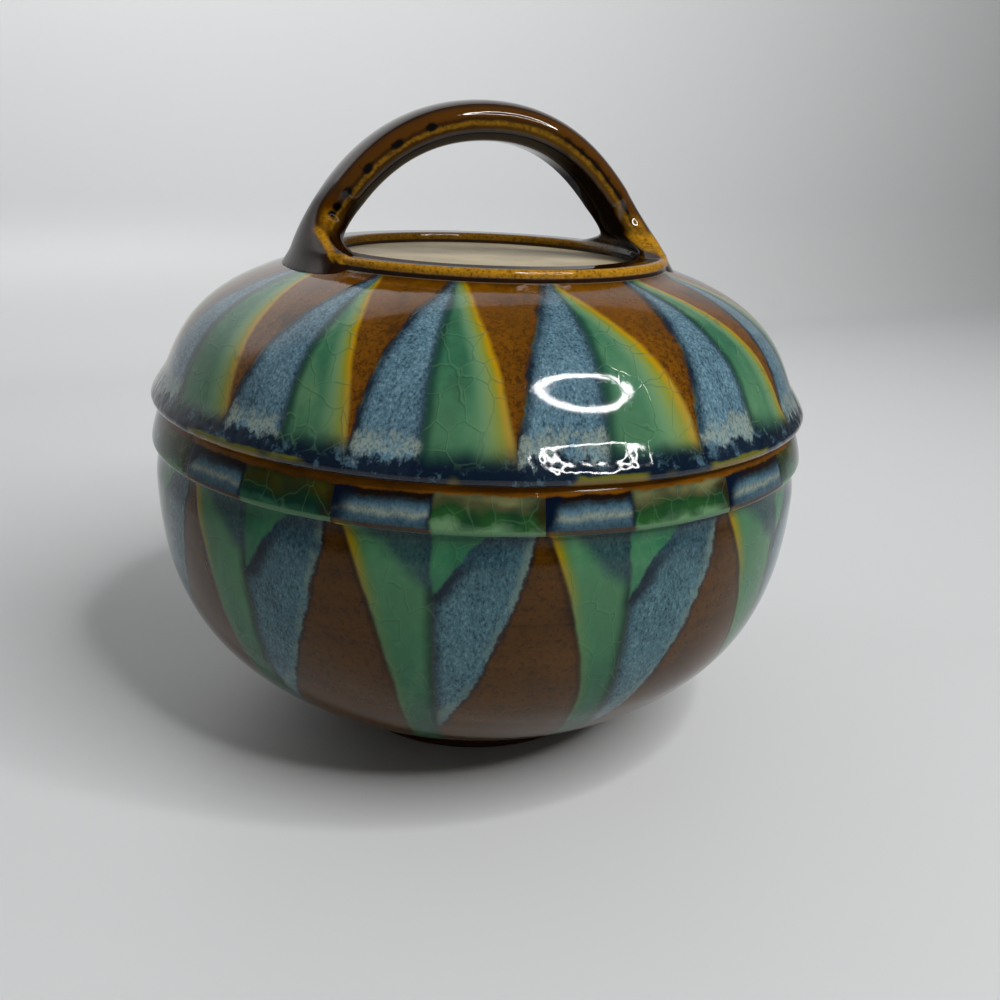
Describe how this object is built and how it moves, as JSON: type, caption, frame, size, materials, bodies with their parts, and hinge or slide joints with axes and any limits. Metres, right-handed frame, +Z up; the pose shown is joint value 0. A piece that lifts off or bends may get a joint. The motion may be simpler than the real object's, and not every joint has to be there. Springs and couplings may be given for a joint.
{
  "type": "casserole dish",
  "caption": "Round glazed stoneware casserole with a footed bowl, a domed lift-off lid that drops into the mouth on a flange, and an arched strap handle on a collar ring.",
  "frame": {"origin": "middle of the foot ring, on the surface that the pot stands on", "axes": "+Z up through the handle, X along the span of the handle"},
  "size_m": [0.2004, 0.2004, 0.1907],
  "materials": {
    "bowl_glaze": "gloss glaze in brown, green and blue",
    "lid_glaze": "gloss glaze in brown, green and blue",
    "handle_glaze": "gloss amber brown glaze",
    "bare_clay": "bare fired stoneware"
  },
  "bodies": {
    "bowl": {"bowl": "bowl_glaze", "foot_ring": "bare_clay"},
    "lid": {"lid": "lid_glaze", "lid_flange": "bare_clay", "collar_ring": "handle_glaze", "handle": "handle_glaze"}
  },
  "joints": [
    {"name": "lid_lift", "type": "slide", "parent": "bowl", "child": "lid", "axis": [0, 0, 1], "range_m": [0, 0.12]}
  ]
}
